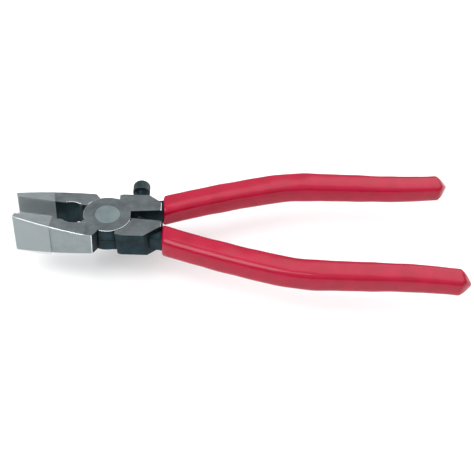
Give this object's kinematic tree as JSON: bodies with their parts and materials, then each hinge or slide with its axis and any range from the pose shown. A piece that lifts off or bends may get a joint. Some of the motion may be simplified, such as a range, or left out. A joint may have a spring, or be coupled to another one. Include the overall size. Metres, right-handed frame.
{
  "type": "glass running pliers",
  "caption": "Riveted lap-joint pliers with wide vinyl-booted jaws, a stop screw and dipped grips, for snapping scored glass.",
  "frame": {"origin": "on the pivot axis, in the flat back face of the riveted joint", "axes": "+Z along the pivot to the joint's front face, +X from the pivot to the handles, -X to the jaws, +Y to the handle of the lever that holds the stop screw"},
  "size_m": [0.2144, 0.0758, 0.0243],
  "materials": {
    "forged_steel": "ground flats over a blackened forging",
    "rivet_steel": "ground flush, satin",
    "boot_vinyl": "smooth translucent vinyl",
    "grip_vinyl": "glossy dipped vinyl",
    "black_steel": "black oxide, knurled head"
  },
  "bodies": {
    "screw_side": {"screw_lever": "forged_steel", "pivot_rivet": "rivet_steel", "lower_jaw_boot": "boot_vinyl", "upper_grip": "grip_vinyl"},
    "plain_side": {"plain_lever": "forged_steel", "upper_jaw_boot": "boot_vinyl", "lower_grip": "grip_vinyl"},
    "stop_screw": {"stop_screw": "black_steel"}
  },
  "joints": [
    {"name": "lever_pivot", "type": "hinge", "parent": "screw_side", "child": "plain_side", "pos_m": [0, 0, 0.00645], "axis": [0, 0, 1], "range_deg": [-36.5, 11.8]},
    {"name": "screw_travel", "type": "slide", "parent": "screw_side", "child": "stop_screw", "axis": [0, 1, 0], "range_m": [-0.0012, 0.005]}
  ]
}
